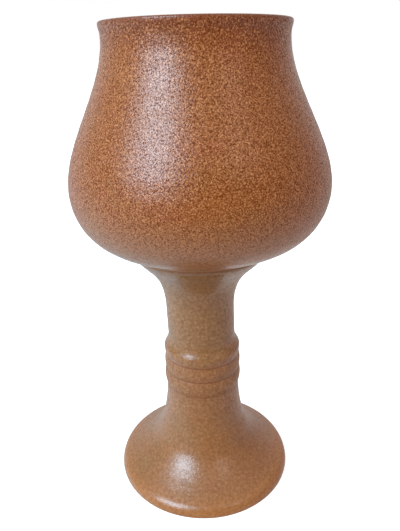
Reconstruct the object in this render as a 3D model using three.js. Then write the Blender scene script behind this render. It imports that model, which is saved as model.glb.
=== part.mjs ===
// Stoneware communion chalice: a thrown bowl luted with slip onto a thrown, hollow pedestal.
// Millimetres, +Z up. The origin is the centre of the foot ring, on the surface it stands on.
import * as THREE from "three";

// Facets round the axis, and steps along each curved stretch of an outline.
const facets = 48;
const longCurve = 8;
const ribCurve = 6;
const shortCurve = 3;
const samePoint = 1e-4; // two points of an outline nearer than this are one

// Directions of travel along an outline, in degrees above level, pointing away from the axis.
const outward = 0;
const up = 90;
const inward = 180;
const down = -90;

// Clearance between neighbouring pieces.
const gap = 0.3;

// Bowl, outside.
const seatHeight = 115.7; // flat underside that the slip holds
const seatRadius = 30;
const undersideRise = 11; // degrees above level where the underside leaves the seat
const bellyRadius = 52.6;
const bellyHeight = 141.5;
const waistRadius = 34.9;
const waistHeight = 196.5;

// Bowl, lip.
const lipRadius = 35.5;
const rimHeight = 201.5;
const lipEdge = 0.9; // radius of the lip's outer edge
const lipWall = 3.3; // from the lip's widest point to its inside
const lipCrown = 2; // how far the lip rounds down to its inside

// Bowl, inside.
const waistWall = 3.3;
const innerWaistHeight = 193.5;
const bellyWall = 4.4;
const innerBellyHeight = 142;
const floorThickness = 6;

// Pedestal, foot.
const footRadius = 41.3;
const footEdge = 5.5; // radius of the foot's rounded edge
const footEdgeHeight = 0.8; // height of the foot's widest point
const ringOuterRadius = 40; // flat ring that the chalice stands on
const ringInnerRadius = 36.4;
const footSlope = 30; // degrees above level where the flare leaves the edge
const throatRadius = 20.1; // where the flare turns up into the stem
const throatHeight = 25.5;
const throatSlope = 65; // degrees above level
const hollowSlope = 30; // degrees above level where the hollow meets the ring

// Pedestal, neck under the ribs, and the ribs.
const neckRadius = 16.9;
const neckHeight = 46.5;
const ribCount = 3;
const ribPitch = 7.3;
const lowestRibHeight = 51;
const lowestRibRadius = 17.75;
const ribTaper = 0.14; // each rib's crest is this much smaller than the one below
const ribDepth = 0.6; // from a rib's crest to the crease beside it
const ribSweep = 55; // degrees round the rib's ellipse from its crest to the crease

// Pedestal, stem and collar.
const stemRadius = 15.3;
const stemStart = 73.5;
const stemEnd = 85.5;
const boreRadius = 10.4;
const boreEnd = 87.5;
const collarRadius = 29;
const collarSlope = 60; // degrees above level where the flare meets the collar's edge
const collarEdge = 1.2; // height of the collar's edge
const collarSeat = 7.5; // width of the collar's flat top
const funnelSlope = 50; // degrees above level where the funnel opens under the seat

// Slip that joins the two.
const slipThickness = 1;

// How far each curve's two handles reach from its start and its end.
const reach = {
  underside: [19.2, 7.7],
  shoulder: [18.2, 17.1],
  lipFlare: [2.2, 1.5],
  innerLip: [1.5, 3],
  innerShoulder: [16, 16.5],
  innerFloor: [13, 40],
  flare: [18, 6],
  throat: [4.8, 4.6],
  ribShoulder: [2.2, 5.6],
  collarFlare: [18.6, 8.5],
  funnel: [6, 16],
  hollow: [24, 17],
};

const bowlGlaze = new THREE.MeshStandardMaterial({ color: 0x9c603b, roughness: 0.42, metalness: 0 });
const stemGlaze = new THREE.MeshStandardMaterial({ color: 0x8f6a4b, roughness: 0.4, metalness: 0 });
const joiningSlip = new THREE.MeshStandardMaterial({ color: 0x85583c, roughness: 0.5, metalness: 0 });

function point(radius, height) {
  return new THREE.Vector2(radius, height);
}

// The point a given length from another, in a direction.
function offset(from, length, direction) {
  const angle = THREE.MathUtils.degToRad(direction);
  return point(from.x + length * Math.cos(angle), from.y + length * Math.sin(angle));
}

// A smooth curve that leaves its start and arrives at its end in given directions.
function bend(start, leaving, end, arriving, reaches, steps = longCurve) {
  const startHandle = offset(start, reaches[0], leaving);
  const endHandle = offset(end, -reaches[1], arriving);
  return new THREE.CubicBezierCurve(start, startHandle, endHandle, end).getPoints(steps);
}

// Part of an ellipse round a centre, from one direction to another.
function arc(centre, radiusAcross, radiusUp, from, to, steps = shortCurve) {
  const start = THREE.MathUtils.degToRad(from);
  const end = THREE.MathUtils.degToRad(to);
  return new THREE.EllipseCurve(centre.x, centre.y, radiusAcross, radiusUp, start, end).getPoints(steps);
}

// One closed body turned round the Z axis from the stretches of its outline.
function turned(name, stretches, material) {
  const points = [];
  for (const next of stretches.flat()) {
    if (points.length === 0 || points.at(-1).distanceTo(next) > samePoint) {
      points.push(next);
    }
  }
  const geometry = new THREE.LatheGeometry(points, facets);
  geometry.rotateX(Math.PI / 2);
  const mesh = new THREE.Mesh(geometry, material);
  mesh.name = name;
  return mesh;
}

function bowlOutside() {
  const seat = point(seatRadius, seatHeight);
  const belly = point(bellyRadius, bellyHeight);
  const waist = point(waistRadius, waistHeight);
  return [
    bend(seat, undersideRise, belly, up, reach.underside),
    bend(belly, up, waist, up, reach.shoulder),
  ];
}

function bowlLip() {
  const edgeCentre = point(lipRadius - lipEdge, rimHeight - lipEdge);
  const crownCentre = point(edgeCentre.x, rimHeight - lipCrown);
  const innerLipRadius = lipRadius - lipWall;
  const waist = point(waistRadius, waistHeight);
  const innerWaist = point(waistRadius - waistWall, innerWaistHeight);
  const crownEnd = point(innerLipRadius, crownCentre.y);
  return [
    bend(waist, up, point(lipRadius, edgeCentre.y), up, reach.lipFlare, shortCurve),
    arc(edgeCentre, lipEdge, lipEdge, outward, up),
    arc(crownCentre, edgeCentre.x - innerLipRadius, lipCrown, up, inward),
    bend(crownEnd, down, innerWaist, down, reach.innerLip, shortCurve),
  ];
}

function bowlInside() {
  const innerWaist = point(waistRadius - waistWall, innerWaistHeight);
  const innerBelly = point(bellyRadius - bellyWall, innerBellyHeight);
  const floorCentre = point(0, seatHeight + floorThickness);
  return [
    bend(innerWaist, down, innerBelly, down, reach.innerShoulder),
    bend(innerBelly, down, floorCentre, inward, reach.innerFloor),
  ];
}

function makeBowl() {
  const outline = [point(0, seatHeight), ...bowlOutside(), ...bowlLip(), ...bowlInside()];
  return turned("bowl", outline, bowlGlaze);
}

function pedestalFoot() {
  const edgeCentre = point(footRadius - footEdge, footEdgeHeight);
  const ringEdge = point(ringOuterRadius, footEdgeHeight);
  const flareStart = offset(edgeCentre, footEdge, up - footSlope);
  const throat = point(throatRadius, throatHeight);
  const throatWay = inward - throatSlope;
  const neck = point(neckRadius, neckHeight);
  return [
    arc(ringEdge, footRadius - ringOuterRadius, footEdgeHeight, down, outward),
    arc(edgeCentre, footEdge, footEdge, outward, up - footSlope),
    bend(flareStart, inward - footSlope, throat, throatWay, reach.flare),
    bend(throat, throatWay, neck, up, reach.throat, shortCurve),
  ];
}

// The tooled ribs, from the lowest up: the tip of an ellipse each, so that they meet in shallow creases.
// The top one is half as much, and runs on into the stem.
function pedestalRibs() {
  const sweep = THREE.MathUtils.degToRad(ribSweep);
  const across = ribDepth / (1 - Math.cos(sweep));
  const rise = ribPitch / 2 / Math.sin(sweep);
  const beads = [];
  for (let i = 0; i < ribCount; i++) {
    const crest = point(lowestRibRadius - i * ribTaper, lowestRibHeight + i * ribPitch);
    const centre = point(crest.x - across, crest.y);
    const isTop = i === ribCount - 1;
    beads.push(arc(centre, across, rise, -ribSweep, isTop ? outward : ribSweep, ribCurve));
    if (isTop) {
      beads.push(bend(crest, up, point(stemRadius, stemStart), up, reach.ribShoulder, ribCurve));
    }
  }
  return beads;
}

function makePedestal() {
  const collarTop = seatHeight - gap - slipThickness - gap;
  const collar = point(collarRadius, collarTop - collarEdge);
  const seatInner = point(collarRadius - collarSeat, collarTop);
  const boreTop = point(boreRadius, boreEnd);
  const boreBottom = point(boreRadius, neckHeight);
  const ringInner = point(ringInnerRadius, 0);
  const outline = [
    ringInner,
    ...pedestalFoot(),
    ...pedestalRibs(),
    bend(point(stemRadius, stemEnd), up, collar, collarSlope, reach.collarFlare),
    point(collarRadius, collarTop),
    bend(seatInner, inward + funnelSlope, boreTop, down, reach.funnel),
    bend(boreBottom, down, ringInner, -hollowSlope, reach.hollow),
  ];
  return turned("pedestal", outline, stemGlaze);
}

// A thin ring between the collar's flat top and the bowl's seat, its edge rounded where it squeezed out.
function makeSlipJoint() {
  const top = seatHeight - gap;
  const bottom = top - slipThickness;
  const inner = collarRadius - collarSeat;
  const bulge = slipThickness / 2;
  const bulgeCentre = point(collarRadius, bottom + bulge);
  const outline = [
    point(inner, top),
    point(inner, bottom),
    arc(bulgeCentre, bulge, bulge, down, up),
    point(inner, top),
  ];
  return turned("slip_joint", outline, joiningSlip);
}

const chalice = new THREE.Group();
chalice.add(makePedestal(), makeSlipJoint(), makeBowl());

export default chalice;
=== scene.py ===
import math

import bpy
from mathutils import Matrix, Vector
from mathutils.geometry import interpolate_bezier


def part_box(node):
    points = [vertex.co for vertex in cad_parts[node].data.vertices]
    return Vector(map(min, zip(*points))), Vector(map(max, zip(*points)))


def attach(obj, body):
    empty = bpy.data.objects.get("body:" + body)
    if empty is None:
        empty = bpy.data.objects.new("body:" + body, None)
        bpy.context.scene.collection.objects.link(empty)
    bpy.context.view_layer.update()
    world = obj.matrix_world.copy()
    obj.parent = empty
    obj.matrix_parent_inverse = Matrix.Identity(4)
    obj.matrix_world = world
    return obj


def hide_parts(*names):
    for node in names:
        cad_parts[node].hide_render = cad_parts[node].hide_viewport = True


# A wheel-thrown stoneware chalice: bowl, slip joint and hollow pedestal, under a satin brown glaze.
# Lengths are millimetres in the dictionaries and metres in Blender.
mm = 0.001
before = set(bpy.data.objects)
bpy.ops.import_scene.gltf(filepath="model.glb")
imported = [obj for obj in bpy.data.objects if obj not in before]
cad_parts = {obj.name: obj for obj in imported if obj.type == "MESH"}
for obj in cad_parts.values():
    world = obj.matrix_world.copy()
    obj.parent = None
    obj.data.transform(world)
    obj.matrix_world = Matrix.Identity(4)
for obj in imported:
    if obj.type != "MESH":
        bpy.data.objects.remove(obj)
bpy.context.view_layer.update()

# Directions along an outline, in degrees above level, pointing away from the axis.
outward = 0
up = 90
inward = 180
down = -90


# A socket that can be used in sums: each operator adds a Math node to the socket's tree.
class Wire:
    def __init__(self, graph, socket):
        self.graph = graph
        self.socket = socket

    def __add__(self, other):
        return self.graph.sum("ADD", self, other)

    def __sub__(self, other):
        return self.graph.sum("SUBTRACT", self, other)

    def __rsub__(self, other):
        return self.graph.sum("SUBTRACT", other, self)

    def __mul__(self, other):
        return self.graph.sum("MULTIPLY", self, other)

    def __truediv__(self, other):
        return self.graph.sum("DIVIDE", self, other)

    def __mod__(self, other):
        return self.graph.sum("FLOORED_MODULO", self, other)

    __radd__ = __add__
    __rmul__ = __mul__


spotCare = {
    "smallest": 0.6,  # the smallest spot's radius, as a share of the given one
    "spread": 0.8,  # how much larger than that the largest is
    "fade": (1.15, 0.55),  # a spot fades in between these shares of its radius
}


class Graph:
    def __init__(self, tree):
        self.tree = tree

    # Makes a node: its settings first, then the values or links of its sockets.
    def node(self, kind, settings=None, inputs=None, output=0):
        made = self.tree.nodes.new(kind)
        for name, value in (settings or {}).items():
            setattr(made, name, value)
        for key, value in (inputs or {}).items():
            self.feed(made.inputs[key], value)
        if isinstance(output, tuple):
            return [Wire(self, made.outputs[name]) for name in output]
        return Wire(self, made.outputs[output]) if len(made.outputs) else made

    def feed(self, socket, value):
        if isinstance(value, Wire):
            self.tree.links.new(value.socket, socket)
        elif socket.type == "RGBA":
            socket.default_value = (*value, 1)
        else:
            socket.default_value = value

    def sum(self, operation, *values):
        return self.node("ShaderNodeMath", {"operation": operation}, dict(enumerate(values)))

    def split(self, vector):
        return self.node("ShaderNodeSeparateXYZ", None, {0: vector}, ("X", "Y", "Z"))

    def join(self, x, y, z):
        return self.node("ShaderNodeCombineXYZ", None, {0: x, 1: y, 2: z})

    # 0 at low and 1 at high, easing in and out between them.
    def ease(self, value, low, high):
        limits = {"Value": value, "From Min": low, "From Max": high}
        return self.node("ShaderNodeMapRange", {"interpolation_type": "SMOOTHSTEP"}, limits)

    # The first colour where the factor is 0 and the second where it is 1.
    def mix(self, factor, first, second):
        return self.node("ShaderNodeMix", {"data_type": "RGBA"}, {0: factor, 6: first, 7: second}, 2)

    # Noise from 0 to 1 whose lumps are a given size.
    def noise(self, place, size, detail=2.0, roughness=0.5, distortion=0.0):
        values = {"Vector": place, "Scale": 1 / size, "Detail": detail}
        values.update({"Roughness": roughness, "Distortion": distortion})
        return self.node("ShaderNodeTexNoise", None, values)

    # Round spots scattered one to a cell, in a given share of the cells.
    def spots(self, place, cell, radius, share):
        values = {"Vector": place, "Scale": 1 / cell}
        distance, tint = self.node("ShaderNodeTexVoronoi", None, values, ("Distance", "Color"))
        chance, size, _ = self.split(tint)
        reach = radius / cell * (size * spotCare["spread"] + spotCare["smallest"])
        spot = self.ease(distance / reach, *spotCare["fade"])
        return spot * self.sum("LESS_THAN", chance, share)


def towards(degrees, length):
    angle = math.radians(degrees)
    return Vector((math.cos(angle), math.sin(angle))) * length


# A smooth curve that leaves its start and arrives at its end in given directions.
def bend(start, leaving, end, arriving, reaches, steps):
    leave = start + towards(leaving, reaches[0])
    arrive = end - towards(arriving, reaches[1])
    return interpolate_bezier(start, leave, arrive, end, steps + 1)


# Part of an ellipse round a centre.
def arc(centre, across, rise, first, last, steps):
    points = []
    for i in range(steps + 1):
        angle = math.radians(first + (last - first) * i / steps)
        points.append(centre + Vector((across * math.cos(angle), rise * math.sin(angle))))
    return points


# The same points with their corners eased, and their ends kept.
def soften(points, passes):
    for _ in range(passes):
        inside = [(points[i - 1] + points[i] * 2 + points[i + 1]) / 4 for i in range(1, len(points) - 1)]
        points = [points[0], *inside, points[-1]]
    return points


# Evenly spaced points from one point to another.
def straight(start, end, steps):
    return [start.lerp(end, i / steps) for i in range(steps + 1)]


# A run of the outline, the depth of the throwing rings on it, and whether it is bare clay.
def run(points, rings=0.0, bare=0.0):
    return {"points": points, "rings": rings, "bare": bare}


outlineCare = {
    "samePoint": 1e-3,
    "turnReach": 0.7,  # the outline's turn is measured over this far to each side
    "ringFade": 3.0,  # throwing rings fade out over this far
}


def pointAt(points, travel, distance):
    for i in range(1, len(points)):
        if travel[i] >= distance:
            step = max(travel[i] - travel[i - 1], outlineCare["samePoint"])
            return points[i - 1].lerp(points[i], max(0, (distance - travel[i - 1]) / step))
    return points[-1]


# The outline as a mesh of points that carry what the lathe and the glaze need to know.
def outlineMesh(name, runs):
    points = []
    depth = []
    bare = []
    for stretch in runs:
        for point in stretch["points"]:
            if not points or (point - points[-1]).length > outlineCare["samePoint"]:
                points.append(point)
                depth.append(stretch["rings"])
                bare.append(stretch["bare"])
    travel = [0.0]
    for i in range(1, len(points)):
        travel.append(travel[-1] + (points[i] - points[i - 1]).length)
    rings = []
    pool = []
    facing = []
    fade = outlineCare["ringFade"]
    reach = outlineCare["turnReach"]
    for i in range(len(points)):
        near = [depth[j] for j in range(len(points)) if abs(travel[j] - travel[i]) < fade]
        ends = min(1, travel[i] / fade, (travel[-1] - travel[i]) / fade)
        rings.append(sum(near) / len(near) * ends)
        before = points[i] - pointAt(points, travel, travel[i] - reach)
        after = pointAt(points, travel, travel[i] + reach) - points[i]
        turn = math.atan2(before.x * after.y - before.y * after.x, before.dot(after))
        pool.append(-turn if before.length and after.length else 0.0)
        along = (points[min(i + 1, len(points) - 1)] - points[max(i - 1, 0)]).normalized()
        facing.extend((along.y, 0.0, -along.x))
    mesh = bpy.data.meshes.new(name)
    mesh.from_pydata([(p.x * mm, 0, p.y * mm) for p in points], [], [])
    for label, values in {"travel": travel, "rings": rings, "pool": pool, "bare": bare}.items():
        mesh.attributes.new(label, "FLOAT", "POINT").data.foreach_set("value", values)
    mesh.attributes.new("facing", "FLOAT_VECTOR", "POINT").data.foreach_set("vector", facing)
    return mesh


wheelInputs = {
    "Turns": ("NodeSocketInt", 256),
    "Ring Pitch": ("NodeSocketFloat", 5.0),
    "Out Of Round": ("NodeSocketFloat", 0.15),
    "Lean": ("NodeSocketFloat", 0.0),
    "Lean Height": ("NodeSocketFloat", 100.0),
    "Lean Spread": ("NodeSocketFloat", 30.0),
    "Glaze": ("NodeSocketMaterial", None),
}
wheelCare = {
    "poleReach": 5.0,  # unevenness dies away this near to the axis, so that poles close
    "mergeReach": 1e-6,  # metres
    "waver": 5,  # how far the throwing rings stray, in radians
    "waverSize": 22,  # and over what length
    "unevenSize": 45,
}
noiseMiddle = 0.5  # noise goes from 0 to 1
halfPoint = 0.5  # keeps the row's number clear of rounding


# Turns an outline round the axis, uneven as hands leave it.
def makeWheel():
    tree = bpy.data.node_groups.new("Thrown On The Wheel", "GeometryNodeTree")
    graph = Graph(tree)
    tree.interface.new_socket("Geometry", in_out="INPUT", socket_type="NodeSocketGeometry")
    tree.interface.new_socket("Geometry", in_out="OUTPUT", socket_type="NodeSocketGeometry")
    for name, (kind, value) in wheelInputs.items():
        socket = tree.interface.new_socket(name, in_out="INPUT", socket_type=kind)
        if value is not None:
            socket.default_value = value
    entry = tree.nodes.new("NodeGroupInput")
    given = {socket.name: Wire(graph, socket) for socket in entry.outputs if socket.name}
    outline = given["Geometry"]
    turns = given["Turns"]

    # A sheet with one row for each point of the outline, and one column more than the turns.
    count = graph.node("GeometryNodeAttributeDomainSize", None, {0: outline}, "Point Count")
    size = {"Vertices X": count, "Vertices Y": turns + 1}
    sheet = graph.node("GeometryNodeMeshGrid", None, size)
    index = graph.node("GeometryNodeInputIndex")
    columns = turns + 1
    row = graph.sum("FLOOR", (index + halfPoint) / columns)
    column = (index - row * columns) % turns
    angle = column / turns * math.tau

    def carried(kind, name):
        if name == "position":
            field = graph.node("GeometryNodeInputPosition")
        else:
            field = graph.node("GeometryNodeInputNamedAttribute", {"data_type": kind}, {"Name": name})
        source = {"Geometry": outline, "Value": field, "Index": row}
        return graph.node("GeometryNodeSampleIndex", {"data_type": kind}, source)

    radius, _, height = graph.split(carried("FLOAT_VECTOR", "position"))
    faceAcross, _, faceUp = graph.split(carried("FLOAT_VECTOR", "facing"))
    radius = radius / mm
    height = height / mm
    travel = carried("FLOAT", "travel")
    across = graph.sum("COSINE", angle)
    along = graph.sum("SINE", angle)
    evenPlace = graph.join(radius * across, radius * along, height)
    pole = graph.sum("MINIMUM", radius / wheelCare["poleReach"], 1)

    # Throwing rings: a shallow spiral that wavers and only cuts in.
    waver = graph.noise(evenPlace, wheelCare["waverSize"], detail=1) * wheelCare["waver"]
    spiral = graph.sum("SINE", travel / given["Ring Pitch"] * math.tau + angle + waver)
    groove = carried("FLOAT", "rings") * pole * (spiral * 0.5 - 0.5)
    swing = (graph.noise(evenPlace, wheelCare["unevenSize"], detail=1) - noiseMiddle) / noiseMiddle
    uneven = swing * given["Out Of Round"] * pole
    away = (height - given["Lean Height"]) / given["Lean Spread"]
    lean = given["Lean"] * graph.sum("EXPONENT", away * away * -1)
    wide = radius + groove * faceAcross + uneven
    place = graph.join((wide * across + lean) * mm, wide * along * mm, (height + groove * faceUp) * mm)

    shape = graph.node("GeometryNodeSetPosition", None, {"Geometry": sheet, "Position": place})
    for name in ("pool", "bare"):
        values = {"Geometry": shape, "Name": name, "Value": carried("FLOAT", name)}
        shape = graph.node("GeometryNodeStoreNamedAttribute", {"data_type": "FLOAT"}, values)
    values = {"Geometry": shape, "Distance": wheelCare["mergeReach"]}
    shape = graph.node("GeometryNodeMergeByDistance", None, values)
    shape = graph.node("GeometryNodeSetShadeSmooth", None, {"Geometry": shape})
    shape = graph.node("GeometryNodeRealizeInstances", None, {"Geometry": shape})
    values = {"Geometry": shape, "Material": given["Glaze"]}
    shape = graph.node("GeometryNodeSetMaterial", None, values)
    graph.node("NodeGroupOutput", None, {0: shape})
    return tree


# Runs an outline through the wheel and returns the turned piece as a plain mesh.
def throwPiece(name, wheel, runs, settings):
    blank = bpy.data.objects.new(name + "_outline", outlineMesh(name + "_outline", runs))
    bpy.context.scene.collection.objects.link(blank)
    modifier = blank.modifiers.new("wheel", "NODES")
    modifier.node_group = wheel
    for socket in wheel.interface.items_tree:
        if socket.in_out == "INPUT" and socket.name in settings:
            modifier[socket.identifier] = settings[socket.name]
    view = bpy.context.evaluated_depsgraph_get()
    mesh = bpy.data.meshes.new_from_object(blank.evaluated_get(view))
    mesh.name = name
    piece = bpy.data.objects.new(name, mesh)
    bpy.context.scene.collection.objects.link(piece)
    bpy.data.objects.remove(blank)
    print(name, "thrown:", len(mesh.vertices), "points")
    return piece


def newMaterial(name):
    material = bpy.data.materials.new(name)
    material.use_nodes = True
    material.node_tree.nodes.clear()
    return material, Graph(material.node_tree)


bowlLook = {
    "ground": (0.222, 0.051, 0.003),
    "dark": (0.12, 0.024, 0.002),
    "light": (0.42, 0.14, 0.04),
    "red": (0.235, 0.046, 0.006),
    "olive": (0.2, 0.06, 0.004),
    "grain": 0.53,  # size of the grain
    "contrast": 1.0,
    "clouds": 0.8,
    "specks": 0.12,  # share of the cells that hold a pale speck
    # The colour changes between one height and another to a given colour, by a share. On the bowl, the band
    # under the rim is painted shade under the lip's flare, with some darker glaze at the lip. The band low
    # on the bowl is a painted reflection of the pale floor, paler and bluer.
    "glazeAndPaintedLightBands": [(188, 200, (0.12, 0.015, 0.001), 0.6), (146, 122, (0.26, 0.108, 0.05), 0.8)],
    "calm": (150, 120, 0.45),  # the grain gets fainter between two heights, by this share
    "sheens": [(128, 120, -0.2)],  # the roughness changes between two heights, by this much
    "thin": (0.15, 0.032, 0.006),  # where the glaze breaks over an edge
    "pooled": (0.13, 0.03, 0.006),
    "roughness": 0.34,
    "dull": 0.75,  # how much of its shine the dark grain loses
    "peel": 1.2,  # strength of the orange peel
    "peelSize": 0.55,
}
stemLook = {
    "ground": (0.235, 0.0785, 0.021),
    "dark": (0.143, 0.05, 0.013),
    "light": (0.34, 0.15, 0.055),
    "red": (0.25, 0.074, 0.02),
    "olive": (0.18, 0.078, 0.022),
    "grain": 1.15,
    "contrast": 0.48,
    "clouds": 0.5,
    "specks": 0.22,
    "glazeAndPaintedLightBands": [
        (60, 76, (0.21, 0.085, 0.027), 0.8),
        (100, 110, (0.2, 0.092, 0.042), 0.7),
        (9, 3, (0.33, 0.1, 0.02), 0.6),
    ],
    "calm": (45, 25, 0.2),
    "sheens": [(106, 112, -0.1), (64, 59, 0.14), (48, 42, -0.14)],
    "thin": (0.3, 0.1, 0.028),
    "pooled": (0.17, 0.043, 0.009),
    "roughness": 0.32,
    "dull": 0.5,
    "peel": 0.95,
    "peelSize": 1.2,
}
# What the glazes share. A fade goes from where it starts to where it is complete.
glazeCare = {
    "cloudSize": 26,
    "redFade": (0.5, 0.72),
    "oliveFade": (0.5, 0.28),
    "darkFade": (0.5, 0.36),
    "lightFade": (0.52, 0.68),
    "speckCell": 3.6,  # there is at most one speck in a cell of this size
    "speckRadius": 0.42,
    "speckShare": 0.75,  # how much of the pale colour a speck has
    "thinFade": (-0.1, -0.9),  # by the outline's turn in radians, which is negative over an edge
    "pooledFade": (0.06, 0.42),  # and positive in a crease
    "pooledShare": 0.9,
    "sheenSize": 6,
    "sheenSpread": 0.1,
    "peelHeight": 0.1,  # at a strength of 1
    "glassiness": 1.5,  # index of refraction
}
clayLook = {
    "ground": (0.42, 0.22, 0.13),
    "dark": (0.22, 0.11, 0.065),
    "light": (0.55, 0.34, 0.22),
    "evenness": 0.6,  # how far the grit's colours are drawn to the ground's
    "grit": 0.5,  # size of the grit
    "gritFade": (0.35, 0.7),
    "edgeFade": (0.42, 0.58),  # where the glaze stops
    "edgeWaver": 0.2,
    "edgeWaverSize": 3,
    "roughness": 0.85,
}


# Satin stoneware glaze, with bare clay where the piece says so.
def makeGlaze(name, look):
    material, graph = newMaterial(name)
    position = graph.node("ShaderNodeTexCoord", output="Object")
    place = graph.node("ShaderNodeVectorMath", {"operation": "SCALE"}, {0: position, "Scale": 1 / mm})
    pool = graph.node("ShaderNodeAttribute", {"attribute_name": "pool"}, None, "Fac")
    bare = graph.node("ShaderNodeAttribute", {"attribute_name": "bare"}, None, "Fac")

    # Broad clouds of redder and greener glaze, then the grain.
    cloud = graph.noise(place, glazeCare["cloudSize"], detail=3, roughness=0.55, distortion=0.6)
    redder = graph.ease(cloud, *glazeCare["redFade"]) * look["clouds"]
    greener = graph.ease(cloud, *glazeCare["oliveFade"]) * look["clouds"]
    colour = graph.mix(redder, look["ground"], look["red"])
    colour = graph.mix(greener, colour, look["olive"])
    height = graph.split(place)[2]
    # Colour bands by height. On the bowl, one is painted shade under the lip and one is a painted reflection
    # low down.
    for low, high, shade, share in look["glazeAndPaintedLightBands"]:
        colour = graph.mix(graph.ease(height, low, high) * share, colour, shade)
    grain = graph.noise(place, look["grain"], detail=1.5, roughness=0.6, distortion=0.4)
    low, high, share = look["calm"]
    contrast = (1 - graph.ease(height, low, high) * share) * look["contrast"]
    darker = graph.ease(grain, *glazeCare["darkFade"]) * contrast
    lighter = graph.ease(grain, *glazeCare["lightFade"]) * contrast
    colour = graph.mix(darker, colour, look["dark"])
    colour = graph.mix(lighter, colour, look["light"])
    specks = graph.spots(place, glazeCare["speckCell"], glazeCare["speckRadius"], look["specks"])
    colour = graph.mix(specks * glazeCare["speckShare"], colour, look["light"])
    colour = graph.mix(graph.ease(pool, *glazeCare["thinFade"]), colour, look["thin"])
    pooled = graph.ease(pool, *glazeCare["pooledFade"]) * glazeCare["pooledShare"]
    colour = graph.mix(pooled, colour, look["pooled"])

    # Bare clay: dry, gritty and marked by the wheel.
    grit = graph.noise(place, clayLook["grit"], detail=4, roughness=0.7)
    clay = graph.mix(graph.ease(grit, *clayLook["gritFade"]), clayLook["dark"], clayLook["light"])
    clay = graph.mix(clayLook["evenness"], clay, clayLook["ground"])
    stray = (graph.noise(place, clayLook["edgeWaverSize"]) - noiseMiddle) * clayLook["edgeWaver"]
    dry = graph.ease(bare + stray, *clayLook["edgeFade"])
    colour = graph.mix(dry, colour, clay)

    # Orange peel in the glaze, and grit under it.
    peel = graph.noise(place, look["peelSize"], detail=1.5, roughness=0.5, distortion=0.6)
    relief = peel * (1 - dry) + grit * dry
    depth = look["peel"] * glazeCare["peelHeight"] * mm
    normal = graph.node("ShaderNodeBump", None, {"Height": relief, "Strength": 1.0, "Distance": depth})

    # How glossy the glaze is, and how much of that the dark grain loses.
    stray = (graph.noise(place, glazeCare["sheenSize"]) - noiseMiddle) * glazeCare["sheenSpread"]
    sheen = stray + look["roughness"]
    for low, high, change in look["sheens"]:
        sheen = graph.ease(height, low, high) * change + sheen
    roughness = sheen * (1 - dry) + dry * clayLook["roughness"]
    values = {"Base Color": colour, "Roughness": roughness, "Normal": normal, "IOR": glazeCare["glassiness"]}
    shiny = graph.node("ShaderNodeBsdfPrincipled", None, values)
    values = {"Base Color": colour, "Roughness": 1.0, "Normal": normal, "Specular IOR Level": 0.0}
    dull = graph.node("ShaderNodeBsdfPrincipled", None, values)
    lost = darker * (1 - dry) * look["dull"]
    shader = graph.node("ShaderNodeMixShader", None, {0: lost, 1: shiny, 2: dull})
    graph.node("ShaderNodeOutputMaterial", None, {"Surface": shader})
    return material


bowl = {
    "seatRadius": 30,
    "undersideRise": 11,  # degrees above level where the underside leaves the seat
    "bellyHeight": 141.5,
    "waistRadius": 34.9,
    "waistDrop": 5,  # the waist is this far under the rim
    "lipRadius": 35.5,
    "lipEdge": 0.9,
    "lipWall": 3.3,
    "lipCrown": 2,
    "waistWall": 3.3,
    "innerWaistDrop": 8,
    "bellyWall": 4.4,
    "innerBellyHeight": 142,
    "floorThickness": 6,
    "undersideReach": (19.2, 7.7),
    "shoulderReach": (18.2, 17.1),
    "flareReach": (2.2, 1.5),
    "throatReach": (1.5, 3),
    "innerShoulderReach": (16, 16.5),
    "innerFloorReach": (13, 40),
    "insideRings": 0.3,  # depth of the throwing rings
    "outsideRings": 0.05,
}
# How many steps each stretch of the outline has.
bowlSteps = {
    "seat": 14, "underside": 46, "shoulder": 62, "flare": 8, "edge": 8, "crown": 8, "throat": 6,
    "inside": 64, "floor": 76,
}
bowlWheel = {
    "Turns": 288,
    "Ring Pitch": 6.5,
    "Out Of Round": 0.12,
    "Lean": 0.5,
    "Lean Height": 141.0,
    "Lean Spread": 30.0,
}


def makeBowl(wheel):
    low, high = (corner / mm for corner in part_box("bowl"))
    seat = Vector((bowl["seatRadius"], low.z))
    belly = Vector((high.x, bowl["bellyHeight"]))
    waist = Vector((bowl["waistRadius"], high.z - bowl["waistDrop"]))
    edgeCentre = Vector((bowl["lipRadius"] - bowl["lipEdge"], high.z - bowl["lipEdge"]))
    lip = Vector((bowl["lipRadius"], edgeCentre.y))
    crownCentre = Vector((edgeCentre.x, high.z - bowl["lipCrown"]))
    throat = Vector((bowl["lipRadius"] - bowl["lipWall"], crownCentre.y))
    innerWaist = Vector((waist.x - bowl["waistWall"], high.z - bowl["innerWaistDrop"]))
    innerBelly = Vector((belly.x - bowl["bellyWall"], bowl["innerBellyHeight"]))
    middle = Vector((0, low.z + bowl["floorThickness"]))
    rise = bowl["undersideRise"]
    edge = bowl["lipEdge"]
    crownWidth = edgeCentre.x - throat.x
    outer = bowl["outsideRings"]
    inner = bowl["insideRings"]
    steps = bowlSteps
    runs = [
        run(straight(Vector((0, seat.y)), seat, steps["seat"])),
        run(bend(seat, rise, belly, up, bowl["undersideReach"], steps["underside"]), outer),
        run(bend(belly, up, waist, up, bowl["shoulderReach"], steps["shoulder"]), outer),
        run(bend(waist, up, lip, up, bowl["flareReach"], steps["flare"])),
        run(arc(edgeCentre, edge, edge, outward, up, steps["edge"])),
        run(arc(crownCentre, crownWidth, bowl["lipCrown"], up, inward, steps["crown"])),
        run(bend(throat, down, innerWaist, down, bowl["throatReach"], steps["throat"])),
        run(bend(innerWaist, down, innerBelly, down, bowl["innerShoulderReach"], steps["inside"]), inner),
        run(bend(innerBelly, down, middle, inward, bowl["innerFloorReach"], steps["floor"]), inner),
    ]
    return throwPiece("thrown_bowl", wheel, runs, bowlWheel)


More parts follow.
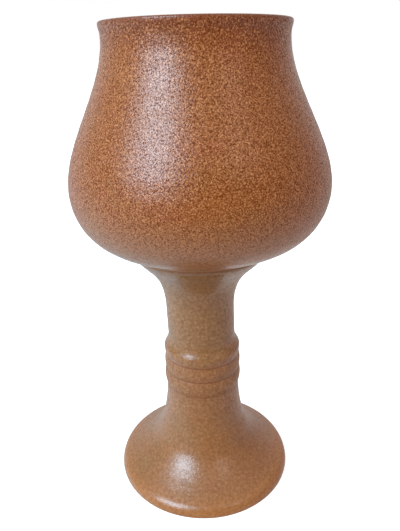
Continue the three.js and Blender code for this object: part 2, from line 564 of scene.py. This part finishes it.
pedestal = {
    "footEdge": 5.5,
    "footEdgeHeight": 0.8,
    "ringOuterRadius": 40,
    "ringInnerRadius": 36.4,
    "footSlope": 30,
    "hollowSlope": 30,
    "neckRadius": 16.9,
    "throatRadius": 20.1,  # where the flare turns up into the stem
    "throatHeight": 25.5,
    "throatSlope": 65,
    "neckHeight": 46.5,
    "ribCount": 3,
    "ribPitch": 7.3,
    "lowestRibHeight": 51,
    "lowestRibRadius": 17.75,
    "ribTaper": 0.14,
    "ribDepth": 0.6,
    "ribSweep": 55,  # degrees round the rib's ellipse from its crest to the crease
    "ribPasses": 5,  # how often the creases are eased
    "stemRadius": 15.3,
    "stemStart": 73.5,
    "stemEnd": 85.5,
    "boreRadius": 10.4,
    "boreEnd": 87.5,
    "collarRadius": 29,
    "collarSlope": 60,
    "collarEdge": 1.2,
    "collarSeat": 7.5,
    "funnelSlope": 50,
    "flareReach": (18, 6),
    "throatReach": (4.8, 4.6),
    "ribShoulderReach": (2.2, 5.6),
    "collarReach": (18.6, 8.5),
    "funnelReach": (6, 16),
    "hollowReach": (24, 17),
    "insideRings": 0.35,
    "outsideRings": 0.04,
}
pedestalSteps = {
    "ring": 8, "ringEdge": 6, "footEdge": 14, "flare": 34, "throat": 20, "rib": 32, "ribShoulder": 24,
    "stem": 10, "collar": 38, "collarEdge": 3, "collarSeat": 6, "funnel": 26, "bore": 36, "hollow": 46,
}
pedestalWheel = {
    "Turns": 256,
    "Ring Pitch": 5.5,
    "Out Of Round": 0.12,
    "Lean": -0.6,
    "Lean Height": 92.0,
    "Lean Spread": 18.0,
}


# The tip of an ellipse for each rib, so that they meet in creases, which the glaze then softens.
# The top one runs on into the stem.
def ribRuns(outer):
    sweep = pedestal["ribSweep"]
    across = pedestal["ribDepth"] / (1 - math.cos(math.radians(sweep)))
    rise = pedestal["ribPitch"] / 2 / math.sin(math.radians(sweep))
    points = []
    for i in range(pedestal["ribCount"]):
        height = pedestal["lowestRibHeight"] + i * pedestal["ribPitch"]
        crest = Vector((pedestal["lowestRibRadius"] - i * pedestal["ribTaper"], height))
        centre = Vector((crest.x - across, height))
        if i < pedestal["ribCount"] - 1:
            tip = arc(centre, across, rise, -sweep, sweep, pedestalSteps["rib"])
        else:
            tip = arc(centre, across, rise, -sweep, outward, pedestalSteps["rib"] // 2)
        points.extend(tip if i == 0 else tip[1:])
    stem = Vector((pedestal["stemRadius"], pedestal["stemStart"]))
    shoulder = bend(crest, up, stem, up, pedestal["ribShoulderReach"], pedestalSteps["ribShoulder"])
    return [run(soften(points, pedestal["ribPasses"])), run(shoulder, outer)]


def makePedestal(wheel):
    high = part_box("pedestal")[1] / mm
    edge = pedestal["footEdge"]
    edgeHeight = pedestal["footEdgeHeight"]
    edgeTop = up - pedestal["footSlope"]
    edgeCentre = Vector((high.x - edge, edgeHeight))
    ringEdge = Vector((pedestal["ringOuterRadius"], edgeHeight))
    ringInner = Vector((pedestal["ringInnerRadius"], 0))
    flareStart = edgeCentre + towards(edgeTop, edge)
    flareWay = inward - pedestal["footSlope"]
    throat = Vector((pedestal["throatRadius"], pedestal["throatHeight"]))
    throatWay = inward - pedestal["throatSlope"]
    neck = Vector((pedestal["neckRadius"], pedestal["neckHeight"]))
    stemFoot = Vector((pedestal["stemRadius"], pedestal["stemStart"]))
    stemTop = Vector((pedestal["stemRadius"], pedestal["stemEnd"]))
    collar = Vector((pedestal["collarRadius"], high.z - pedestal["collarEdge"]))
    collarTop = Vector((collar.x, high.z))
    seatInner = Vector((collar.x - pedestal["collarSeat"], high.z))
    collarWay = pedestal["collarSlope"]
    funnelWay = inward + pedestal["funnelSlope"]
    hollowWay = -pedestal["hollowSlope"]
    boreTop = Vector((pedestal["boreRadius"], pedestal["boreEnd"]))
    boreBottom = Vector((pedestal["boreRadius"], pedestal["neckHeight"]))
    outer = pedestal["outsideRings"]
    inner = pedestal["insideRings"]
    ringWidth = high.x - ringEdge.x
    steps = pedestalSteps
    funnel = bend(seatInner, funnelWay, boreTop, down, pedestal["funnelReach"], steps["funnel"])
    hollow = bend(boreBottom, down, ringInner, hollowWay, pedestal["hollowReach"], steps["hollow"])
    runs = [
        run(straight(ringInner, Vector((ringEdge.x, 0)), steps["ring"]), bare=1),
        run(arc(ringEdge, ringWidth, edgeHeight, down, outward, steps["ringEdge"])[1:]),
        run(arc(edgeCentre, edge, edge, outward, edgeTop, steps["footEdge"])),
        run(bend(flareStart, flareWay, throat, throatWay, pedestal["flareReach"], steps["flare"]), outer),
        run(bend(throat, throatWay, neck, up, pedestal["throatReach"], steps["throat"]), outer),
        *ribRuns(outer),
        run(straight(stemFoot, stemTop, steps["stem"]), outer),
        run(bend(stemTop, up, collar, collarWay, pedestal["collarReach"], steps["collar"]), outer),
        run(straight(collar, collarTop, steps["collarEdge"])),
        run(straight(collarTop, seatInner, steps["collarSeat"]), bare=1),
        run(funnel, inner, bare=1),
        run(straight(boreTop, boreBottom, steps["bore"]), inner, bare=1),
        run(hollow, inner, bare=1),
    ]
    return throwPiece("thrown_pedestal", wheel, runs, pedestalWheel)


joint = {
    "innerRadius": 21.5,
    "press": 0.15,  # how far the slip is pressed into its neighbours
    "bead": 0.55,  # radius of the bead that squeezed out
}
jointSteps = {"inside": 3, "faces": 6, "bead": 14}
jointWheel = {
    "Turns": 256,
    "Ring Pitch": 6.0,
    "Out Of Round": 0.15,
}


# The slip squeezed out all round between collar and bowl, as a thin bead.
def makeJoint(wheel):
    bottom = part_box("pedestal")[1].z / mm - joint["press"]
    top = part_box("bowl")[0].z / mm + joint["press"]
    middle = Vector((pedestal["collarRadius"], (bottom + top) / 2))
    innerTop = Vector((joint["innerRadius"], top))
    innerBottom = Vector((joint["innerRadius"], bottom))
    runs = [
        run(straight(innerTop, innerBottom, jointSteps["inside"])),
        run(straight(innerBottom, Vector((middle.x, bottom)), jointSteps["faces"])),
        run(arc(middle, joint["bead"], (top - bottom) / 2, down, up, jointSteps["bead"])),
        run(straight(Vector((middle.x, top)), innerTop, jointSteps["faces"])),
    ]
    return throwPiece("slip_bead", wheel, runs, jointWheel)


floorLook = {"size": 40.0, "colour": (0.8, 0.8, 0.8), "glow": 0.55}


def makeFloor():
    half = floorLook["size"] / 2
    corners = [(-half, -half, 0), (half, -half, 0), (half, half, 0), (-half, half, 0)]
    mesh = bpy.data.meshes.new("floor")
    mesh.from_pydata(corners, [], [(0, 1, 2, 3)])
    floor = bpy.data.objects.new("floor", mesh)
    bpy.context.scene.collection.objects.link(floor)
    material, graph = newMaterial("pale floor")
    values = {"Base Color": floorLook["colour"], "Roughness": 1.0, "Specular IOR Level": 0.0}
    values.update({"Emission Color": (1, 1, 1), "Emission Strength": floorLook["glow"]})
    shader = graph.node("ShaderNodeBsdfPrincipled", None, values)
    graph.node("ShaderNodeOutputMaterial", None, {"Surface": shader})
    mesh.materials.append(material)
    # The floor catches the shadow, and the studio itself lights the chalice from below.
    floor.visible_diffuse = False
    floor.visible_glossy = False
    floor.visible_shadow = False


# How bright the studio is on each side of the chalice, above level and below it.
studio = {
    "front": (0.23, 0.54),
    "back": (1.32, 0.6),
    "left": (0.71, 1.6),
    "right": (0.47, 0.85),
    "over": (1.02, 1.02),  # straight above and straight below
}
studioCare = {
    "levelFade": (-0.15, 0.15),  # from below level to above it
    "sideFade": (-0.2, 0.2),  # from one side to the opposite one
    "coolSide": (0.82, 1.0, 1.12),  # colour of the light from the left
    "coolFade": (-0.7, 0.3),  # from that colour to white, going right
}


# White to the camera. Around the chalice its sides blend into each other.
def makeWorld():
    world = bpy.data.worlds.new("studio")
    bpy.context.scene.world = world
    world.use_nodes = True
    world.node_tree.nodes.clear()
    graph = Graph(world.node_tree)
    x, y, z = graph.split(graph.node("ShaderNodeTexCoord", output="Generated"))
    high = graph.ease(z, *studioCare["levelFade"])
    glow = 0
    for reach, first, second in ((x, "left", "right"), (y, "front", "back"), (z, "over", "over")):
        side = graph.ease(reach, *studioCare["sideFade"])
        upper = side * (studio[second][0] - studio[first][0]) + studio[first][0]
        lower = side * (studio[second][1] - studio[first][1]) + studio[first][1]
        glow = ((upper - lower) * high + lower) * reach * reach + glow
    tint = graph.mix(graph.ease(x, *studioCare["coolFade"]), studioCare["coolSide"], (1, 1, 1))
    around = graph.node("ShaderNodeBackground", None, {"Color": tint, "Strength": glow})
    white = graph.node("ShaderNodeBackground", None, {"Color": (1, 1, 1), "Strength": 1.0})
    seen = graph.node("ShaderNodeLightPath", output="Is Camera Ray")
    shown = graph.node("ShaderNodeMixShader", None, {0: seen, 1: around, 2: white})
    graph.node("ShaderNodeOutputWorld", None, {"Surface": shown})


# Each soft light stands at a bearing from straight ahead, left negative, and a height, in degrees.
lights = {
    "main_softbox": {
        "bearing": -45, "height": 34, "distance": 2400, "size": (1150, 1300), "power": 102.0,
        "colour": (0.58, 0.81, 1.0),
    },
    "second_softbox": {
        "bearing": 37, "height": 38, "distance": 2400, "size": (700, 700), "power": 6.2,
        "colour": (1.0, 0.95, 0.92),
    },
}
lightsAim = 120  # height that the lights point at


def makeLights():
    middle = Vector((0, 0, lightsAim * mm))
    for name, look in lights.items():
        light = bpy.data.lights.new(name, "AREA")
        light.shape = "RECTANGLE"
        light.size = look["size"][0] * mm
        light.size_y = look["size"][1] * mm
        light.energy = look["power"]
        light.color = look["colour"]
        lamp = bpy.data.objects.new(name, light)
        bpy.context.scene.collection.objects.link(lamp)
        turn = Matrix.Rotation(math.radians(look["bearing"]), 4, "Z")
        tilt = Matrix.Rotation(math.radians(90 - look["height"]), 4, "X")
        back = Matrix.Translation((0, 0, look["distance"] * mm))
        lamp.matrix_world = Matrix.Translation(middle) @ turn @ tilt @ back


camera = {
    "place": (-2.08, -205.52, 190.62),
    "down": 22.71,  # degrees under level
    "turn": 0.52,  # degrees clockwise from above
    "roll": -1.23,
    "lens": 34.48,
    "film": 36,  # width of the sensor
    "nearest": 10,  # nothing nearer than this is drawn
}


def makeCamera():
    data = bpy.data.cameras.new("camera")
    data.lens = camera["lens"]
    data.sensor_width = camera["film"]
    data.clip_start = camera["nearest"] * mm
    eye = bpy.data.objects.new("camera", data)
    bpy.context.scene.collection.objects.link(eye)
    turn = Matrix.Rotation(math.radians(-camera["turn"]), 4, "Z")
    tilt = Matrix.Rotation(math.radians(90 - camera["down"]), 4, "X")
    roll = Matrix.Rotation(math.radians(camera["roll"]), 4, "Z")
    eye.matrix_world = Matrix.Translation(Vector(camera["place"]) * mm) @ turn @ tilt @ roll
    bpy.context.scene.camera = eye


bpy.context.scene.view_settings.view_transform = "Standard"
makeCamera()
makeWorld()
makeLights()
makeFloor()
print("studio ready")

wheel = makeWheel()
bowlWheel["Glaze"] = makeGlaze("satin brown glaze", bowlLook)
stemGlaze = makeGlaze("satin olive brown glaze", stemLook)
pedestalWheel["Glaze"] = stemGlaze
jointWheel["Glaze"] = stemGlaze
print("glazes mixed")

thrownBowl = makeBowl(wheel)
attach(thrownBowl, "root")
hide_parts("bowl")

thrownPedestal = makePedestal(wheel)
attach(thrownPedestal, "root")
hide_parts("pedestal")

slipBead = makeJoint(wheel)
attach(slipBead, "root")
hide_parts("slip_joint")
